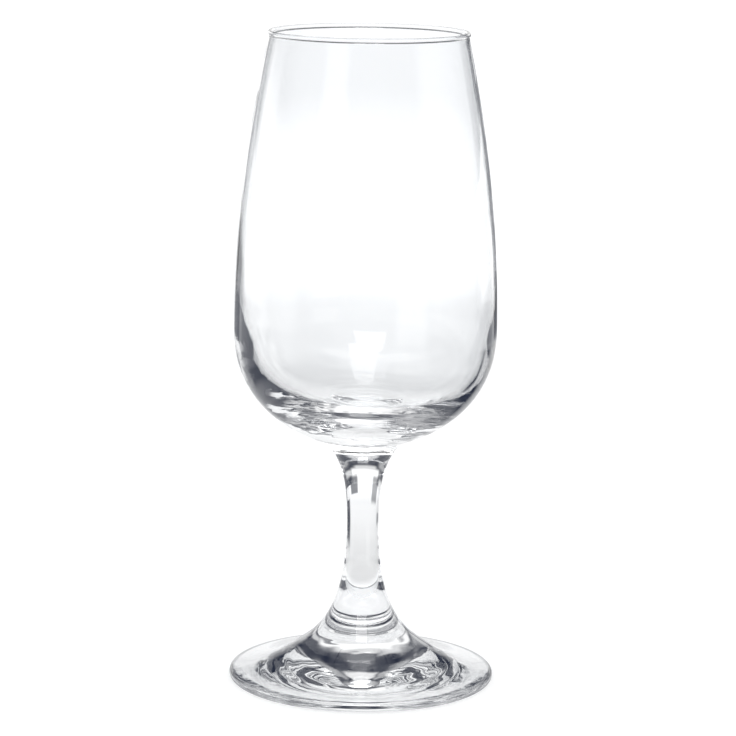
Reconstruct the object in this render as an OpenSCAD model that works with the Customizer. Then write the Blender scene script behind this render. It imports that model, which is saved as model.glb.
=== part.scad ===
// Small stemmed sherry glass in clear soda-lime glass, in millimetres.
// It is made as the hot-worked original is: a blown bowl, a drawn stem and a pressed foot,
// each turned about the Z axis and fused to its neighbour on a flat disc of contact.
// The glass stands on Z = 0 with its axis on Z, and the lip is at the top.

/* [Bowl] */
// Height of the bowl from its joint with the stem to the top of the lip
bowl_h = 87.7; // [75:0.1:100]
// Outside radius of the bowl where it is widest
bowl_r = 28.1; // [26:0.1:31]
// Height of the widest place above the joint with the stem
belly_h = 23.9; // [20:0.1:28]
// Outside radius of the wall where it runs into the lip
lip_r = 21.15; // [19:0.05:24]
// Lean of the outside wall towards the axis at the lip, in degrees
lip_lean = 11.5; // [6:0.5:16]
// Thickness of the wall just under the lip's bead
lip_wall = 0.65; // [0.55:0.05:0.9]
// Lean of the inside wall towards the axis at the lip, in degrees
lip_inner_lean = 12; // [8:0.5:18]
// Diameter of the fire-polished bead round the lip
bead_d = 1.1; // [0.95:0.05:1.4]
// Radius of the soft neck where the wall runs into the bead
neck_r = 0.3; // [0.1:0.05:0.5]
// How much less the widest radius of the inside is than that of the outside
belly_wall = 1.0; // [0.7:0.05:1.4]
// How much higher the widest place of the inside is than that of the outside
cavity_rise = 10.3; // [6:0.1:14]
// Thickness of the glass on the axis, from the joint to the floor of the bowl
base_t = 7.0; // [5:0.1:10]
// Rise of the outside where the bowl leaves the joint, in degrees
base_rise = 16; // [8:1:24]

/* [Stem] */
// Length of the stem from its joint with the foot to its joint with the bowl
stem_h = 43.5; // [35:0.1:60]
// Radius of the stem where it is thinnest
waist_r = 3.4; // [2.8:0.1:5]
// Height of the thinnest place above the joint with the foot
waist_h = 25.5; // [20:0.1:30]
// Radius of the joint between the stem and the bowl
head_r = 8.6; // [7:0.1:10]
// Slope of the stem's side just under the bowl, in degrees from level
head_slope = 45; // [30:1:60]
// Slope of the stem's side just above the foot, in degrees from level
flare_slope = 37; // [30:1:50]

/* [Foot] */
// Outside radius of the foot
foot_r = 28.6; // [25:0.1:33]
// Height of the foot from the table to its joint with the stem
foot_h = 8.8; // [6:0.1:10]
// Thickness of the foot's rounded edge
edge_t = 2.1; // [1.6:0.1:3]
// Radius of the joint between the foot and the stem
hub_r = 11.9; // [10:0.1:14]
// Slope of the foot's top where it meets the stem, in degrees from level
hub_slope = 37; // [30:1:50]
// Slope of the foot's top next to its edge, in degrees from level
rim_slope = 8; // [4:1:12]
// Width of the flat ring that the foot rests on, between its rounded edge and the hollow inside it
ring_w = 2.0; // [1:0.1:4]
// Depth of the hollow under the foot on the axis
dish_d = 1.7; // [0.5:0.1:2.5]

/* [Hidden] */
$fn = 128;

// Levels of the two fused joints and of the lip
stem_z = foot_h;
bowl_z = foot_h + stem_h;
lip_z = bowl_z + bowl_h;

// Straight steps along a long curve, along a short one and along the neck of the bead
long_steps = 24;
short_steps = 10;
neck_steps = 4;

// Reach of each curve's end tangents, as shares of the straight distance between its ends
bowl_base_shares = [0.39, 0.39];
bowl_wall_shares = [0.39, 0.30];
cavity_base_shares = [0.51, 0.61];
cavity_wall_shares = [0.35, 0.22];
flare_shares = [0.27, 0.49];
head_shares = [0.54, 0.26];
foot_top_shares = [0.45, 0.25];

// The clear glass, seen with a little of its grey-blue body colour
glass_tint = [0.86, 0.91, 0.94, 0.45];

// Unit vector at an angle from the radial direction
function dir(angle) = [cos(angle), sin(angle)];

// Point at share t of the smooth curve from a to b that leaves along angle_a and arrives along angle_b
function curve_point(a, b, angle_a, angle_b, shares, t) =
    let (span = norm(b - a))
    let (c = a + dir(angle_a) * shares[0] * span)
    let (d = b - dir(angle_b) * shares[1] * span)
    a * (1 - t) ^ 3 + 3 * c * t * (1 - t) ^ 2 + 3 * d * t ^ 2 * (1 - t) + b * t ^ 3;

// All points of that curve, both ends included
function curve(a, b, angle_a, angle_b, shares, steps) =
    [for (i = [0 : steps]) curve_point(a, b, angle_a, angle_b, shares, i / steps)];

// Points on a circle of radius r about a centre, from one angle to another
function arc(centre, r, from, to, steps) =
    [for (i = [0 : steps]) centre + dir(from + (to - from) * i / steps) * r];

// A list without its first point and without its last, where it joins the lists beside it
function inner(points) = [for (i = [1 : len(points) - 2]) points[i]];

// A list from its last point to its first
function reversed(points) = [for (i = [1 : len(points)]) points[len(points) - i]];

// The bead's circle lies on the middle of the wall, and a neck on each side runs smoothly into it
bead_r = bead_d / 2;
bead_centre = [lip_r - lip_wall / 2, lip_z - bead_r];
neck_reach = bead_r + neck_r;
bead_turn = acos((lip_wall + neck_r * (cos(lip_lean) + cos(lip_inner_lean))) / (2 * neck_reach));
outer_neck_centre = bead_centre + dir(-bead_turn) * neck_reach;
inner_neck_centre = bead_centre + dir(180 + bead_turn) * neck_reach;
outer_neck = arc(outer_neck_centre, neck_r, 180 + lip_lean, 180 - bead_turn, neck_steps);
bead = arc(bead_centre, bead_r, -bead_turn, 180 + bead_turn, short_steps);
inner_neck = arc(inner_neck_centre, neck_r, bead_turn, lip_inner_lean, neck_steps);
wall_end = outer_neck[0];
cavity_end = inner_neck[neck_steps];

// Widest places of the bowl's outside and inside, and the foot of its inside on the axis
belly = [bowl_r, bowl_z + belly_h];
cavity_belly = [bowl_r - belly_wall, bowl_z + belly_h + cavity_rise];
cavity_floor = [0, bowl_z + base_t];

module profile(points) {
    rotate_extrude() polygon(points);
}

// Blown bowl: a thick pool of glass at the bottom, a thin wall and a polished bead at the lip
module bowl() {
    joint = [head_r, bowl_z];
    outside_base = curve(joint, belly, base_rise, 90, bowl_base_shares, long_steps);
    outside_wall = curve(belly, wall_end, 90, 90 + lip_lean, bowl_wall_shares, long_steps);
    inside_wall = curve(cavity_belly, cavity_end, 90, 90 + lip_inner_lean, cavity_wall_shares, long_steps);
    inside_base = curve(cavity_floor, cavity_belly, 0, 90, cavity_base_shares, long_steps);
    color(glass_tint)
        profile(concat(
            [[0, bowl_z]],
            outside_base,
            inner(outside_wall),
            outer_neck,
            inner(bead),
            inner_neck,
            inner(reversed(inside_wall)),
            reversed(inside_base)
        ));
}

// Drawn stem: a wide flare on the foot, a thin waist and a smaller flare under the bowl
module stem() {
    waist = [waist_r, stem_z + waist_h];
    flare = curve([hub_r, stem_z], waist, 180 - flare_slope, 90, flare_shares, long_steps);
    head = curve(waist, [head_r, bowl_z], 90, head_slope, head_shares, long_steps);
    color(glass_tint)
        profile(concat([[0, stem_z]], flare, inner(head), [[head_r, bowl_z], [0, bowl_z]]));
}

// Pressed foot: a raised hub, a thin rounded edge and a shallow hollow inside its resting ring
module foot() {
    edge_r = edge_t / 2;
    edge_centre = [foot_r - edge_r, edge_r];
    dish_r = foot_r - edge_r - ring_w;
    dish_sphere_r = (dish_r ^ 2 + dish_d ^ 2) / (2 * dish_d);
    dish_angle = asin(dish_r / dish_sphere_r);
    dish_centre = [0, dish_d - dish_sphere_r];
    dish = arc(dish_centre, dish_sphere_r, 90, 90 - dish_angle, long_steps);
    edge = arc(edge_centre, edge_r, -90, 90 - rim_slope, short_steps);
    top = curve(edge[short_steps], [hub_r, foot_h], 180 - rim_slope, 180 - hub_slope,
                foot_top_shares, long_steps);
    color(glass_tint)
        profile(concat([[0, dish_d]], inner(dish), [[dish_r, 0]], edge, inner(top),
                       [[hub_r, foot_h], [0, foot_h]]));
}

foot();
stem();
bowl();
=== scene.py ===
import math
from functools import partial

import bpy
import numpy as np
from mathutils import Matrix, Vector


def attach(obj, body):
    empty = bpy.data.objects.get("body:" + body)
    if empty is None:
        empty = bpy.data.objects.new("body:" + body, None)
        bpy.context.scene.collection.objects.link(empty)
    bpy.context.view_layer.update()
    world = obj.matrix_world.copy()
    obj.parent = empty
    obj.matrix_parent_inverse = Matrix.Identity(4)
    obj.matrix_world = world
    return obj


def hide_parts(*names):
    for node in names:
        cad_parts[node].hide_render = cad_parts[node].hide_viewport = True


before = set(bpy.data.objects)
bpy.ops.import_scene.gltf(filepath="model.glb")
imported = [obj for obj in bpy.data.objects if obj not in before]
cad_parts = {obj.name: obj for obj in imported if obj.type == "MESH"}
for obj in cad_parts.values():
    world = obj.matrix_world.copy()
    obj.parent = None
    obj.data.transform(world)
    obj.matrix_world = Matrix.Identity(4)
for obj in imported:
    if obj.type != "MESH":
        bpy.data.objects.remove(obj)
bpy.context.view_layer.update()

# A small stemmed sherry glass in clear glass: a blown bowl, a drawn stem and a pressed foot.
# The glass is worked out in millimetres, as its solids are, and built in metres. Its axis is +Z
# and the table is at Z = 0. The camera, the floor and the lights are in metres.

MM = 0.001

# Driving sizes of the glass, in millimetres and degrees, as the solids have them
BOWL_H = 87.7
BOWL_R = 28.1
BELLY_H = 23.9
LIP_R = 21.15
LIP_LEAN = 11.5
LIP_WALL = 0.65
LIP_INNER_LEAN = 12
BEAD_D = 1.1
NECK_R = 0.3
BELLY_WALL = 1.0
CAVITY_RISE = 10.3
BASE_T = 7.0
BASE_RISE = 16
STEM_H = 43.5
WAIST_R = 3.4
WAIST_H = 25.5
HEAD_R = 8.6
HEAD_SLOPE = 45
FLARE_SLOPE = 37
FOOT_R = 28.6
FOOT_H = 8.8
EDGE_T = 2.1
HUB_R = 11.9
HUB_SLOPE = 37
RIM_SLOPE = 8
RING_W = 2.0
DISH_D = 1.7

# Reach of each curve's end tangents, as shares of the straight distance between its ends
BOWL_BASE_SHARES = (0.39, 0.39)
BOWL_WALL_SHARES = (0.39, 0.30)
CAVITY_BASE_SHARES = (0.51, 0.61)
CAVITY_WALL_SHARES = (0.35, 0.22)
FLARE_SHARES = (0.27, 0.49)
HEAD_SHARES = (0.54, 0.26)
FOOT_TOP_SHARES = (0.45, 0.25)

# Levels of the two fused joints and of the lip
STEM_Z = FOOT_H
BOWL_Z = FOOT_H + STEM_H
LIP_Z = BOWL_Z + BOWL_H

# Segments round the axis, and steps along a long stretch, a short one and a joint's disc
SEGMENTS = 192
LONG_STEPS = 64
SHORT_STEPS = 16
DISC_STEPS = 6

# Points closer than this are one point, and a radius below this lies on the axis, in millimetres
SAME_POINT = 1e-5
ON_AXIS = 1e-6

# Material slots of every piece, and the angle in degrees over which an edge stays crisp
GLASS = 0
SEAM = 1
CRISP_ANGLE = 35


def direction(angle):
    """Unit vector at an angle in degrees from the radial direction."""
    return np.array([math.cos(math.radians(angle)), math.sin(math.radians(angle))])


def curve(a, b, angle_a, angle_b, shares):
    """Points of the smooth curve from a to b, leaving along angle_a and arriving along angle_b."""
    a, b = np.array(a, float), np.array(b, float)
    span = np.linalg.norm(b - a)
    c = a + direction(angle_a) * shares[0] * span
    d = b - direction(angle_b) * shares[1] * span
    t = np.linspace(0, 1, LONG_STEPS + 1)[:, None]
    return a * (1 - t) ** 3 + 3 * c * t * (1 - t) ** 2 + 3 * d * t ** 2 * (1 - t) + b * t ** 3


def arc(centre, r, start, end, steps=SHORT_STEPS):
    """Points on a circle about a centre, from one angle in degrees to another."""
    return np.array([np.array(centre) + direction(start + (end - start) * i / steps) * r
                     for i in range(steps + 1)])


def joint_disc(r, z):
    """Points of a joint's flat disc, from the axis outward."""
    return np.array([(q, z) for q in np.linspace(0, r, DISC_STEPS + 1)])


def lathe(name, stretches):
    """A closed mesh turned about the axis.

    Each stretch has its points, its material slot and a warp of its vertices, or None.
    """
    verts, faces, slots, rings, warps = [], [], [], [], []
    last = None
    for points, slot, warp in stretches:
        first = len(verts)
        for r, z in points:
            if last is not None and abs(r - last[0]) + abs(z - last[1]) < SAME_POINT:
                continue
            last = (r, z)
            count = 1 if r < ON_AXIS else SEGMENTS
            rings.append((list(range(len(verts), len(verts) + count)), slot))
            for j in range(count):
                angle = 2 * math.pi * j / SEGMENTS
                verts.append((r * math.cos(angle), r * math.sin(angle), z))
        if warp is not None:
            warps.append((first, len(verts), warp))
    for (low, _), (high, slot) in zip(rings, rings[1:]):
        for j in range(SEGMENTS):
            k = (j + 1) % SEGMENTS
            if len(low) == 1:
                faces.append((low[0], high[k], high[j]))
            elif len(high) == 1:
                faces.append((low[j], low[k], high[0]))
            else:
                faces.append((low[j], low[k], high[k], high[j]))
            slots.append(slot)
    verts = np.array(verts)
    for first, end, warp in warps:
        warp(verts[first:end])
    mesh = bpy.data.meshes.new(name)
    mesh.from_pydata((verts * MM).tolist(), [], faces)
    mesh.polygons.foreach_set("material_index", slots)
    mesh.polygons.foreach_set("use_smooth", [True] * len(faces))
    mesh.update()
    piece = bpy.data.objects.new(name, mesh)
    bpy.context.scene.collection.objects.link(piece)
    return piece


def link(tree, source, target):
    """Joins one node's output to another's input."""
    tree.links.new(source, target)


# Clear glass, a trace bluer than white
GLASS_COLOUR = (0.988, 0.994, 1.0)
GLASS_IOR = 1.5

# Striae: faint streaks of uneven glass that bend the light, drawn out along the axis. The scale
# counts streaks in a metre and the height is in metres.
STRIAE_SCALE = 160
STRIAE_STRETCH = (1.0, 1.0, 0.45)
STRIAE_DETAIL = 2.0
STRIAE_HEIGHT = 0.000035


def glass_material():
    """Clear glass with faint striae."""
    mat = bpy.data.materials.new("clear_glass")
    mat.use_nodes = True
    tree = mat.node_tree
    shader = tree.nodes["Principled BSDF"]
    shader.inputs["Base Color"].default_value = (*GLASS_COLOUR, 1)
    shader.inputs["Roughness"].default_value = 0.0
    shader.inputs["IOR"].default_value = GLASS_IOR
    shader.inputs["Transmission Weight"].default_value = 1.0
    coords = tree.nodes.new("ShaderNodeTexCoord")
    stretch = tree.nodes.new("ShaderNodeMapping")
    stretch.inputs["Scale"].default_value = STRIAE_STRETCH
    link(tree, coords.outputs["Object"], stretch.inputs["Vector"])
    noise = tree.nodes.new("ShaderNodeTexNoise")
    noise.inputs["Scale"].default_value = STRIAE_SCALE
    noise.inputs["Detail"].default_value = STRIAE_DETAIL
    link(tree, stretch.outputs[0], noise.inputs["Vector"])
    bump = tree.nodes.new("ShaderNodeBump")
    bump.inputs["Strength"].default_value = 1.0
    bump.inputs["Distance"].default_value = STRIAE_HEIGHT
    link(tree, noise.outputs[0], bump.inputs["Height"])
    link(tree, bump.outputs[0], shader.inputs["Normal"])
    return mat


def seam_material():
    """Clear face inside the glass, where two pieces are fused: light crosses it unchanged."""
    mat = bpy.data.materials.new("fused_seam")
    mat.use_nodes = True
    tree = mat.node_tree
    tree.nodes.remove(tree.nodes["Principled BSDF"])
    clear = tree.nodes.new("ShaderNodeBsdfTransparent")
    link(tree, clear.outputs[0], tree.nodes["Material Output"].inputs["Surface"])
    return mat


# Faint rings that the turning leaves in the hot glass: each has a height, the distance between
# crests, where it fades in and out along the radius, and where its centre lies, in millimetres
FLOOR_RINGS = (0.030, 3.1, (-1, 0), (13, 17), (0.8, -0.4))
BASE_RINGS = (0.011, 2.3, (9, 10.5), (18, 22), (0.6, -0.3))
FOOT_RINGS = (0.012, 2.7, (12.5, 14), (20, 24), (0.5, -0.25))
DISH_RINGS = (0.010, 3.4, (-1, 0), (19, 24), (1.1, -0.55))

# The rings are a little stronger on some sides: swells in one turn, share and phase in radians
SWELLS = ((2, 0.4, 0.7), (3, 0.3, 2.1))

# The blown inside isn't quite true: it sits to one side and its floor leans. Each grows between
# two heights, in millimetres.
SHIFT = 0.38
SHIFT_Z = (102, 86)
LEAN_ANGLE = 2.0
LEAN_Z = (88, 62)


def smooth(value, start, end):
    """A smooth step of a value from 0 at start to 1 at end."""
    t = np.clip((value - start) / (end - start), 0, 1)
    return t * t * (3 - 2 * t)


def waves(verts, height, pitch, rise, fall, centre):
    """Small heights of round waves at the vertices of a stretch."""
    x, y = verts[:, 0], verts[:, 1]
    r = np.hypot(x, y)
    turn = np.arctan2(y, x)
    wave = np.cos(2 * math.pi * np.hypot(x - centre[0], y - centre[1]) / pitch)
    uneven = 1
    for count, share, phase in SWELLS:
        uneven = uneven + share * np.cos(count * turn + phase)
    return height * wave * uneven * smooth(r, *rise) * (1 - smooth(r, *fall))


def wrinkle(rings, verts):
    """Lays faint rings on a stretch."""
    verts[:, 2] += waves(verts, *rings)


def warp_inside(verts):
    """Lays rings on the floor of the bowl, moves the inside to one side and leans its floor."""
    x, z = verts[:, 0].copy(), verts[:, 2].copy()
    wrinkle(FLOOR_RINGS, verts)
    verts[:, 0] += SHIFT * smooth(z, *SHIFT_Z)
    verts[:, 2] -= x * math.tan(math.radians(LEAN_ANGLE)) * smooth(z, *LEAN_Z)


def build_bowl():
    """Blown bowl: a thick pool of glass at the bottom, a thin wall and a polished bead."""
    belly = (BOWL_R, BOWL_Z + BELLY_H)
    cavity_floor = (0, BOWL_Z + BASE_T)
    cavity_belly = (BOWL_R - BELLY_WALL, BOWL_Z + BELLY_H + CAVITY_RISE)
    bead_r = BEAD_D / 2
    centre = np.array((LIP_R - LIP_WALL / 2, LIP_Z - bead_r))
    reach = bead_r + NECK_R
    leans = direction(LIP_LEAN)[0] + direction(LIP_INNER_LEAN)[0]
    turn = math.degrees(math.acos((LIP_WALL + NECK_R * leans) / (2 * reach)))
    outer_neck = arc(centre + direction(-turn) * reach, NECK_R, 180 + LIP_LEAN, 180 - turn)
    bead = arc(centre, bead_r, -turn, 180 + turn, LONG_STEPS)
    inner_neck = arc(centre + direction(180 + turn) * reach, NECK_R, turn, LIP_INNER_LEAN)
    outside_base = curve((HEAD_R, BOWL_Z), belly, BASE_RISE, 90, BOWL_BASE_SHARES)
    outside_wall = curve(belly, outer_neck[0], 90, 90 + LIP_LEAN, BOWL_WALL_SHARES)
    inside_wall = curve(cavity_belly, inner_neck[-1], 90, 90 + LIP_INNER_LEAN,
                        CAVITY_WALL_SHARES)
    inside_base = curve(cavity_floor, cavity_belly, 0, 90, CAVITY_BASE_SHARES)
    return lathe("bowl_glass", [
        (joint_disc(HEAD_R, BOWL_Z), SEAM, None),
        (outside_base, GLASS, partial(wrinkle, BASE_RINGS)),
        (outside_wall, GLASS, None),
        (outer_neck, GLASS, None),
        (bead, GLASS, None),
        (inner_neck, GLASS, None),
        (inside_wall[::-1], GLASS, warp_inside),
        (inside_base[::-1], GLASS, warp_inside),
    ])


def build_stem():
    """Drawn stem: a wide flare on the foot, a thin waist and a smaller flare under the bowl."""
    waist = (WAIST_R, STEM_Z + WAIST_H)
    return lathe("stem_glass", [
        (joint_disc(HUB_R, STEM_Z), SEAM, None),
        (curve((HUB_R, STEM_Z), waist, 180 - FLARE_SLOPE, 90, FLARE_SHARES), GLASS, None),
        (curve(waist, (HEAD_R, BOWL_Z), 90, HEAD_SLOPE, HEAD_SHARES), GLASS, None),
        (joint_disc(HEAD_R, BOWL_Z)[::-1], SEAM, None),
    ])


def build_foot():
    """Pressed foot: a raised hub, a thin rounded edge and a shallow hollow inside its ring."""
    edge_r = EDGE_T / 2
    dish_r = FOOT_R - edge_r - RING_W
    sphere_r = (dish_r ** 2 + DISH_D ** 2) / (2 * DISH_D)
    dish_angle = math.degrees(math.asin(dish_r / sphere_r))
    dish = arc((0, DISH_D - sphere_r), sphere_r, 90, 90 - dish_angle, LONG_STEPS)
    dish[0][0] = 0
    edge = arc((FOOT_R - edge_r, edge_r), edge_r, -90, 90 - RIM_SLOPE)
    top = curve(edge[-1], (HUB_R, FOOT_H), 180 - RIM_SLOPE, 180 - HUB_SLOPE, FOOT_TOP_SHARES)
    return lathe("foot_glass", [
        (dish, GLASS, partial(wrinkle, DISH_RINGS)),
        (edge, GLASS, None),
        (top, GLASS, partial(wrinkle, FOOT_RINGS)),
        (joint_disc(HUB_R, FOOT_H)[::-1], SEAM, None),
    ])


clear_glass = glass_material()
fused_seam = seam_material()
pieces = {"bowl": build_bowl(), "stem": build_stem(), "foot": build_foot()}
for node, piece in pieces.items():
    piece.data.materials.append(clear_glass)
    piece.data.materials.append(fused_seam)
    piece.data.set_sharp_from_angle(angle=math.radians(CRISP_ANGLE))
    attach(piece, "root")
    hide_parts(node)


# Camera, solved from the photograph's outline: its focal length in pixels of the square picture,
# its place in metres and its turns in degrees
PHOTO_PX = 736
FOCAL_PX = 3131.56
SENSOR_MM = 36
CAMERA_BACK = 0.658
CAMERA_UP = 0.1921
PITCH_DOWN = 10.677
ROLL = 0.78
YAW_RIGHT = 0.0597

camera_data = bpy.data.cameras.new("camera")
camera_data.sensor_width = SENSOR_MM
camera_data.lens = FOCAL_PX / PHOTO_PX * SENSOR_MM
camera = bpy.data.objects.new("camera", camera_data)
camera.matrix_world = (Matrix.Translation((0, -CAMERA_BACK, CAMERA_UP))
                       @ Matrix.Rotation(math.radians(-YAW_RIGHT), 4, "Z")
                       @ Matrix.Rotation(math.radians(90 - PITCH_DOWN), 4, "X")
                       @ Matrix.Rotation(math.radians(ROLL), 4, "Z"))
bpy.context.scene.collection.objects.link(camera)
bpy.context.scene.camera = camera


def maths(tree, operation, *values):
    """A Math node's output; each value is a number or another node's output."""
    node = tree.nodes.new("ShaderNodeMath")
    node.operation = operation
    for socket, value in zip(node.inputs, values):
        if isinstance(value, (int, float)):
            socket.default_value = value
        else:
            link(tree, value, socket)
    return node.outputs[0]


def ramp(tree, value, start, end, low=0.0, high=1.0):
    """A smooth step of a value from low at start to high at end."""
    node = tree.nodes.new("ShaderNodeMapRange")
    node.interpolation_type = "SMOOTHSTEP"
    node.inputs["From Min"].default_value = start
    node.inputs["From Max"].default_value = end
    node.inputs["To Min"].default_value = low
    node.inputs["To Max"].default_value = high
    link(tree, value, node.inputs["Value"])
    return node.outputs["Result"]


def shaded(tree, value, shade):
    """A value with a share of it, from 0 to 1, taken away."""
    return maths(tree, "MULTIPLY", value, maths(tree, "SUBTRACT", 1.0, shade))


# Sockets of a Mix node that blends colours: its factor, its two colours and its result
MIX_FACTOR = 0
MIX_COLOURS = (6, 7)
MIX_RESULT = 2


def blended(tree, factor, *colours):
    """Two colours blended by a factor; each is a colour or another node's output."""
    node = tree.nodes.new("ShaderNodeMix")
    node.data_type = "RGBA"
    node.clamp_factor = False
    link(tree, factor, node.inputs[MIX_FACTOR])
    for index, colour in zip(MIX_COLOURS, colours):
        if isinstance(colour, tuple):
            node.inputs[index].default_value = (*colour, 1)
        else:
            link(tree, colour, node.inputs[index])
    return node.outputs[MIX_RESULT]


# Diffuse Depth counts whole bounces, so over this a ray has left a matt surface
NO_BOUNCE = 0.5


def ray_kinds(tree):
    """1 for rays from the camera, and 1 for rays that the glass reflects or lets through."""
    path = tree.nodes.new("ShaderNodeLightPath").outputs
    either = maths(tree, "MAXIMUM", path["Is Glossy Ray"], path["Is Transmission Ray"])
    from_floor = maths(tree, "GREATER_THAN", path["Diffuse Depth"], NO_BOUNCE)
    return path["Is Camera Ray"], shaded(tree, either, from_floor)


def azimuth_of(tree, vector):
    """Azimuth of a vector in degrees from +Y towards +X, and its Z."""
    parts = tree.nodes.new("ShaderNodeSeparateXYZ")
    link(tree, vector, parts.inputs[0])
    angle = maths(tree, "ARCTAN2", parts.outputs["X"], parts.outputs["Y"])
    return maths(tree, "DEGREES", angle), parts.outputs["Z"]


# Half a turn, straight up and straight down, in degrees
HALF_TURN = 180
UP = 90
DOWN = -90


def sector(tree, azimuth, middle, half, blur):
    """1 within a sector of azimuth and 0 outside it, softly edged."""
    turn = maths(tree, "SUBTRACT", azimuth, middle)
    turn = maths(tree, "WRAP", turn, HALF_TURN, -HALF_TURN)
    return ramp(tree, maths(tree, "ABSOLUTE", turn), half + blur, half - blur)


# What the glass sees round it: a dim studio with softly edged bright panes. A pane has the
# azimuth of its middle, half its width, its blur, its lowest and highest elevation, their blur,
# all in degrees, and its brightness.
WHITE = (1, 1, 1)
DIM = (0.023, 0.029, 0.050)
PANES = (
    (-5, 29, 5, DOWN, 13, 3, 1.10),
    (-4, 20, 5, DOWN, 17, 3, 0.75),
    (34, 12, 5, 5, 12, 2, 0.60),
    (-42, 10, 5, 5, 12, 2, 0.20),
    (-78, 38, 10, DOWN, 5, 3, 1.0),
    (0, 26, 6, 46, UP, 5, 0.9),
    (45, 15, 6, 20, 56, 4, 0.36),
    (-45, 15, 6, 16, 56, 4, 0.42),
    (0, HALF_TURN, 1, 64, UP, 6, 0.8),
    (180, 42, 12, 26, UP, 6, 0.55),
    (0, 8, 4, 17, 50, 5, 0.14),
)

# Dark flags behind the glass that draw its outline: the azimuth of the middle, half the width and
# the blur in degrees, where each begins on the floor in metres, its top in degrees, and the share
# of the light that it leaves. Their tops have a blur of their own.
FLAGS = (
    (21.5, 10, 2, 0.42, 5, 0.22),
    (-30, 9.5, 2, 0.26, 5, 0.38),
)
FLAG_BLUR = 2


def pane_light(tree, azimuth, elevation, pane):
    """Brightness of one pane in one direction."""
    middle, half, blur, low, high, blur_up, light = pane
    if half < HALF_TURN:
        light = maths(tree, "MULTIPLY", sector(tree, azimuth, middle, half, blur), light)
    if high < UP:
        below = ramp(tree, elevation, high + blur_up, high - blur_up)
        light = maths(tree, "MULTIPLY", below, light)
    if low > DOWN:
        above = ramp(tree, elevation, low - blur_up, low + blur_up)
        light = maths(tree, "MULTIPLY", above, light)
    return light


def surroundings(tree, azimuth, elevation):
    """Colour of the studio in one direction, as the output of a node."""
    lit = 0.0
    for pane in PANES:
        lit = maths(tree, "MAXIMUM", lit, pane_light(tree, azimuth, elevation, pane))
    for middle, half, blur, _, top, left in FLAGS:
        below = ramp(tree, elevation, top + FLAG_BLUR, top - FLAG_BLUR, 0.0, 1.0 - left)
        across = sector(tree, azimuth, middle, half, blur)
        lit = shaded(tree, lit, maths(tree, "MULTIPLY", across, below))
    return blended(tree, lit, DIM, WHITE)


# Floor: matt and pale, a hair below the foot. Its sizes are in metres, and the distances in its
# values below are in metres from the axis.
FLOOR_R = 6.0
FLOOR_SIDES = 96
FLOOR_GAP = 0.0001
FLOOR_ALBEDO = 0.5

# Its own faint light, on top of what it reflects: a strength that makes it white to the camera, and
# for the glass painted light under the foot and painted shade round it that lifts with the
# distance: the sum of steps, each with the distances where it starts and ends and its strengths
# before and after
GLOW = (0.98, 0.99, 1.0)
CAMERA_GLOW = 0.64
GLASS_PAINTED_LIGHT = (
    (0.029, 0.042, 0.36, 0.0),
    (0.05, 0.17, 0.36, 0.57),
    (0.22, 0.50, 0.0, 0.24),
)

# The floor is painted for the glass alone: painted light in a disc round the foot and in fans that
# run out from it, and painted shade, as dim as the studio, elsewhere. A fan has the azimuth of its
# middle, half its width and its blur in degrees, where it begins and ends, and how much of it is
# lit. The disc and the fans' ends share one blur.
DISC_R = 0.085
FANS = (
    (-5, 46, 6, 0.0, FLOOR_R, 1.0),
    (-50, 38, 8, 0.0, 0.14, 1.0),
    (-75, 43, 8, 0.0, 0.20, 0.4),
    (-80, 38, 10, 0.18, FLOOR_R, 0.9),
    (48, 14, 6, 0.33, FLOOR_R, 0.8),
    (180, 65, 20, 0.35, FLOOR_R, 0.35),
    (141, 14, 5, 0.15, FLOOR_R, 0.95),
)
FAN_BLUR = 0.02
FLAG_FLOOR_BLUR = 0.04

# Painted shadow of the foot's edge on the floor, a dark ring seen only by the glass, which draws
# the foot's outline in the glass: its inner and outer radius, its blur and how dark it is
PAINTED_CONTACT_SHADOW = (0.0275, 0.0296, 0.0005, 0.65)

# The far floor is painted a little dimmer for the glass: where that starts and ends, and its shares
# before and after
HORIZON = (0.95, 1.35, 1.0, 0.88)


def floor_glow(tree, radius, camera_ray, glass_ray):
    """Strength of the floor's own light: even to the camera, and for the glass painted light under
    the foot and painted shade round it.
    """
    steps = 0.0
    # Painted light under the foot and painted shade round it, seen only by the glass
    for step in GLASS_PAINTED_LIGHT:
        steps = maths(tree, "ADD", steps, ramp(tree, radius, *step))
    to_camera = maths(tree, "MULTIPLY", camera_ray, CAMERA_GLOW)
    to_glass = maths(tree, "MULTIPLY", glass_ray, steps)
    return maths(tree, "ADD", to_camera, to_glass)


def fan_light(tree, azimuth, radius, fan):
    """How much painted light one fan puts on the floor."""
    middle, half, blur, start, end, share = fan
    light = maths(tree, "MULTIPLY", sector(tree, azimuth, middle, half, blur), share)
    if start > 0:
        past = ramp(tree, radius, start - FAN_BLUR, start + FAN_BLUR)
        light = maths(tree, "MULTIPLY", past, light)
    if end < FLOOR_R:
        within = ramp(tree, radius, end + FAN_BLUR, end - FAN_BLUR)
        light = maths(tree, "MULTIPLY", within, light)
    return light


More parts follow.
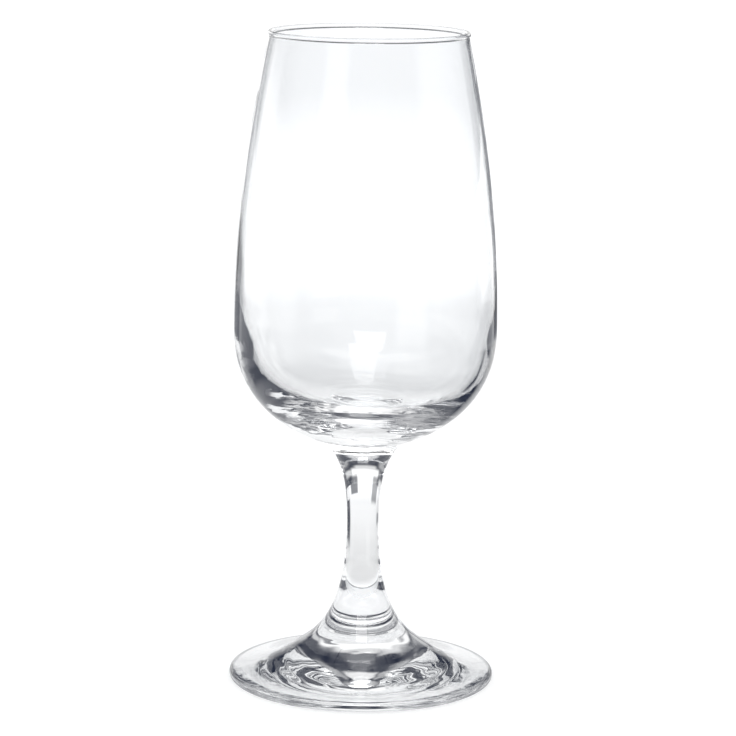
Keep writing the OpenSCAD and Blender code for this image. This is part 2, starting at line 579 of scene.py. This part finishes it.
def floor_light(tree, azimuth, radius):
    """Share of the painted light on the floor that the glass sees; the rest is painted shade, as
    dim as the studio.
    """
    lit = ramp(tree, radius, DISC_R + FAN_BLUR, DISC_R - FAN_BLUR)
    for fan in FANS:
        lit = maths(tree, "MAXIMUM", lit, fan_light(tree, azimuth, radius, fan))
    # The flags darken the floor's painted light past where each begins
    for middle, half, blur, start, _, left in FLAGS:
        past = ramp(tree, radius, start - FLAG_FLOOR_BLUR, start + FLAG_FLOOR_BLUR, 0.0, 1.0 - left)
        across = sector(tree, azimuth, middle, half, blur)
        lit = shaded(tree, lit, maths(tree, "MULTIPLY", across, past))
    # Painted shadow ring at the foot's edge
    start, end, blur, dark = PAINTED_CONTACT_SHADOW
    past = ramp(tree, radius, start - blur, start + blur)
    within = ramp(tree, radius, end + blur, end - blur, 0.0, dark)
    lit = shaded(tree, lit, maths(tree, "MULTIPLY", past, within))
    # Painted dimming of the far floor
    return maths(tree, "MULTIPLY", lit, ramp(tree, radius, *HORIZON))


def floor_material():
    """Pale and matt to the eye, and to the glass painted with light in places and with shade
    elsewhere.
    """
    mat = bpy.data.materials.new("floor")
    mat.use_nodes = True
    tree = mat.node_tree
    shader = tree.nodes["Principled BSDF"]
    shader.inputs["Base Color"].default_value = (FLOOR_ALBEDO, FLOOR_ALBEDO, FLOOR_ALBEDO, 1)
    shader.inputs["Roughness"].default_value = 1.0
    shader.inputs["Specular IOR Level"].default_value = 0.0
    position = tree.nodes.new("ShaderNodeNewGeometry").outputs["Position"]
    length = tree.nodes.new("ShaderNodeVectorMath")
    length.operation = "LENGTH"
    link(tree, position, length.inputs[0])
    radius = length.outputs["Value"]
    azimuth, _ = azimuth_of(tree, position)
    camera_ray, glass_ray = ray_kinds(tree)
    glow = tree.nodes.new("ShaderNodeEmission")
    glow.inputs["Color"].default_value = (*GLOW, 1)
    link(tree, floor_glow(tree, radius, camera_ray, glass_ray), glow.inputs["Strength"])
    lit = tree.nodes.new("ShaderNodeAddShader")
    link(tree, shader.outputs[0], lit.inputs[0])
    link(tree, glow.outputs[0], lit.inputs[1])
    # Painted shade: the dim emission that the glass sees where the floor carries no painted light
    dim = tree.nodes.new("ShaderNodeEmission")
    dim.inputs["Color"].default_value = (*DIM, 1)
    mix = tree.nodes.new("ShaderNodeMixShader")
    link(tree, shaded(tree, glass_ray, floor_light(tree, azimuth, radius)), mix.inputs[0])
    link(tree, lit.outputs[0], mix.inputs[1])
    link(tree, dim.outputs[0], mix.inputs[2])
    link(tree, mix.outputs[0], tree.nodes["Material Output"].inputs["Surface"])
    mat.cycles.emission_sampling = "NONE"
    return mat


def build_floor():
    """A round floor under the glass."""
    angles = [2 * math.pi * i / FLOOR_SIDES for i in range(FLOOR_SIDES)]
    rim = [(FLOOR_R * math.cos(a), FLOOR_R * math.sin(a), -FLOOR_GAP) for a in angles]
    mesh = bpy.data.meshes.new("floor")
    mesh.from_pydata(rim, [], [tuple(range(FLOOR_SIDES))])
    mesh.materials.append(floor_material())
    floor = bpy.data.objects.new("floor", mesh)
    bpy.context.scene.collection.objects.link(floor)


build_floor()

# Tall softbox on the camera's side, with its top nearer to the glass: the middles of its lower
# and upper edges and its width in metres, and its radiance
BOX_LOW = Vector((0, -0.87, 0.68))
BOX_HIGH = Vector((0, -0.40, 2.45))
BOX_WIDTH = 0.58
BOX_RADIANCE = 3.5

softbox_data = bpy.data.lights.new("softbox", "AREA")
softbox_data.shape = "RECTANGLE"
softbox_data.size = BOX_WIDTH
softbox_data.size_y = (BOX_HIGH - BOX_LOW).length
softbox_data.energy = BOX_RADIANCE * math.pi * softbox_data.size * softbox_data.size_y
softbox = bpy.data.objects.new("softbox", softbox_data)
across = Vector((1, 0, 0))
along = (BOX_HIGH - BOX_LOW).normalized()
turned = Matrix((across, along, across.cross(along))).transposed().to_4x4()
softbox.matrix_world = Matrix.Translation((BOX_LOW + BOX_HIGH) / 2) @ turned
softbox.visible_camera = False
softbox.visible_diffuse = False
bpy.context.scene.collection.objects.link(softbox)

# World: an even soft light for matt surfaces, white to the camera, and the studio to the glass
SOFT = (0.94, 0.94, 0.94)

world = bpy.data.worlds.new("studio")
bpy.context.scene.world = world
world.use_nodes = True
tree = world.node_tree
tree.nodes.clear()
camera_ray, glass_ray = ray_kinds(tree)
coords = tree.nodes.new("ShaderNodeTexCoord")
azimuth, rise = azimuth_of(tree, coords.outputs["Generated"])
elevation = maths(tree, "DEGREES", maths(tree, "ARCSINE", rise))
shown = blended(tree, glass_ray, SOFT, surroundings(tree, azimuth, elevation))
sky = tree.nodes.new("ShaderNodeBackground")
link(tree, blended(tree, camera_ray, shown, WHITE), sky.inputs["Color"])
out = tree.nodes.new("ShaderNodeOutputWorld")
link(tree, sky.outputs[0], out.inputs["Surface"])

# Enough bounces for the light that is caught in the rounded edge of the foot
BOUNCES = 32

scene = bpy.context.scene
scene.view_settings.view_transform = "Standard"
scene.cycles.max_bounces = BOUNCES
scene.cycles.glossy_bounces = BOUNCES
scene.cycles.transmission_bounces = BOUNCES
